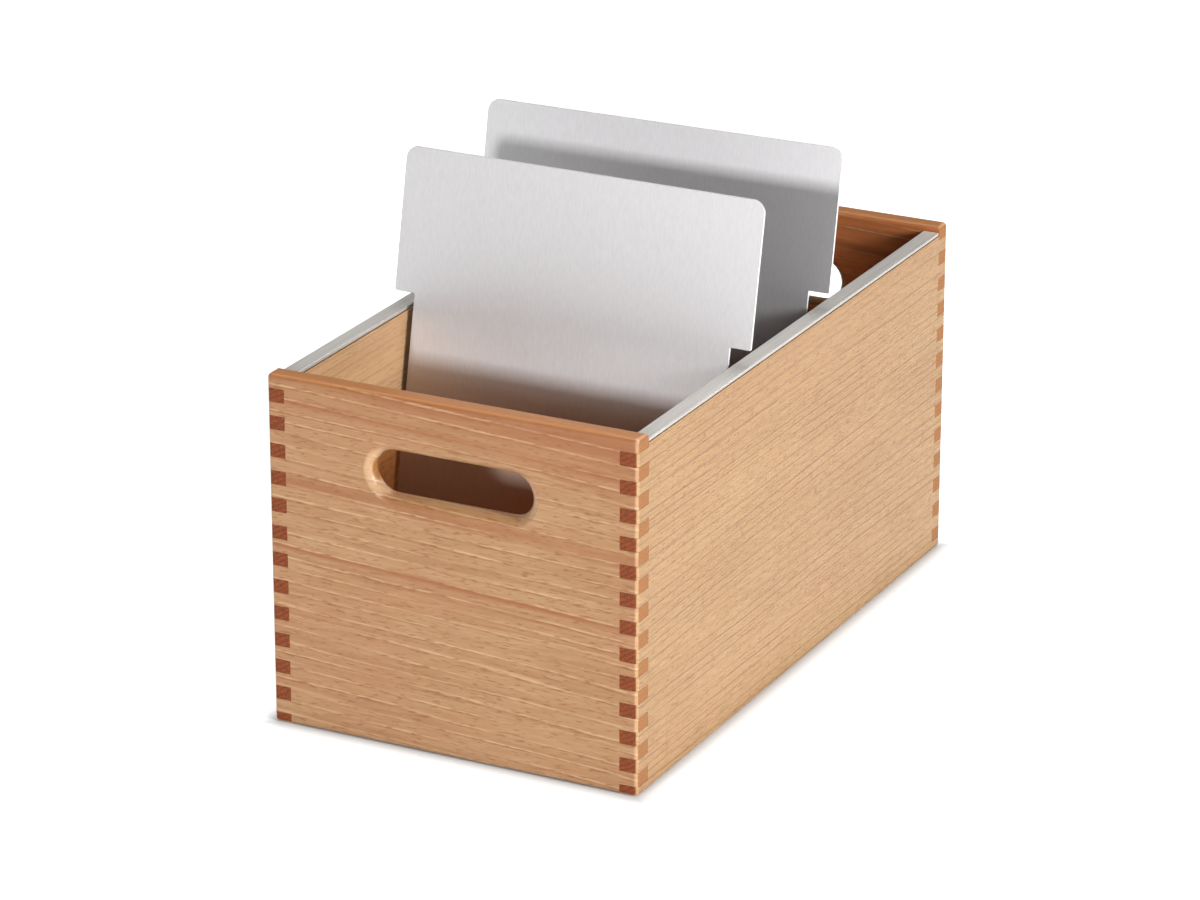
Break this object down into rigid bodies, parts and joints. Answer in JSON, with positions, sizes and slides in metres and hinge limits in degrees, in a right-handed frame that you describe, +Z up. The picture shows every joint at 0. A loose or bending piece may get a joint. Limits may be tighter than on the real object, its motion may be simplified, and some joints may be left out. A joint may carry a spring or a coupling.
{
  "type": "open card index tray with sliding support plates",
  "caption": "Open finger-jointed wooden tray for upright index cards, with metal top rails, a grip hole in each end and leaning metal support plates that slide along it.",
  "frame": {"origin": "centre of the tray's footprint, on the surface it stands on", "axes": "+Z up, +Y from the front panel to the back panel along the tray's length, +X to the right seen from the front"},
  "size_m": [0.24, 0.434, 0.3107],
  "materials": {
    "beech_ends": "solid beech, clear satin lacquer, grain running across the width",
    "beech_sides": "solid beech, clear satin lacquer, grain running along the length",
    "plywood": "thin light plywood, satin",
    "rail_metal": "satin top with bright edges",
    "plate_metal": "fine upright brushing"
  },
  "bodies": {
    "box": {"front_panel": "beech_ends", "back_panel": "beech_ends", "left_side_panel": "beech_sides", "right_side_panel": "beech_sides", "floor_board": "plywood", "left_rail": "rail_metal", "right_rail": "rail_metal"},
    "front_plate": {"front_support_plate": "plate_metal"},
    "rear_plate": {"rear_support_plate": "plate_metal"}
  },
  "joints": [
    {"name": "front_plate_slide", "type": "slide", "parent": "box", "child": "front_plate", "axis": [0, 1, 0], "range_m": [-0.087, 0.02]},
    {"name": "rear_plate_slide", "type": "slide", "parent": "box", "child": "rear_plate", "axis": [0, 1, 0], "range_m": [-0.02, 0.138]}
  ]
}
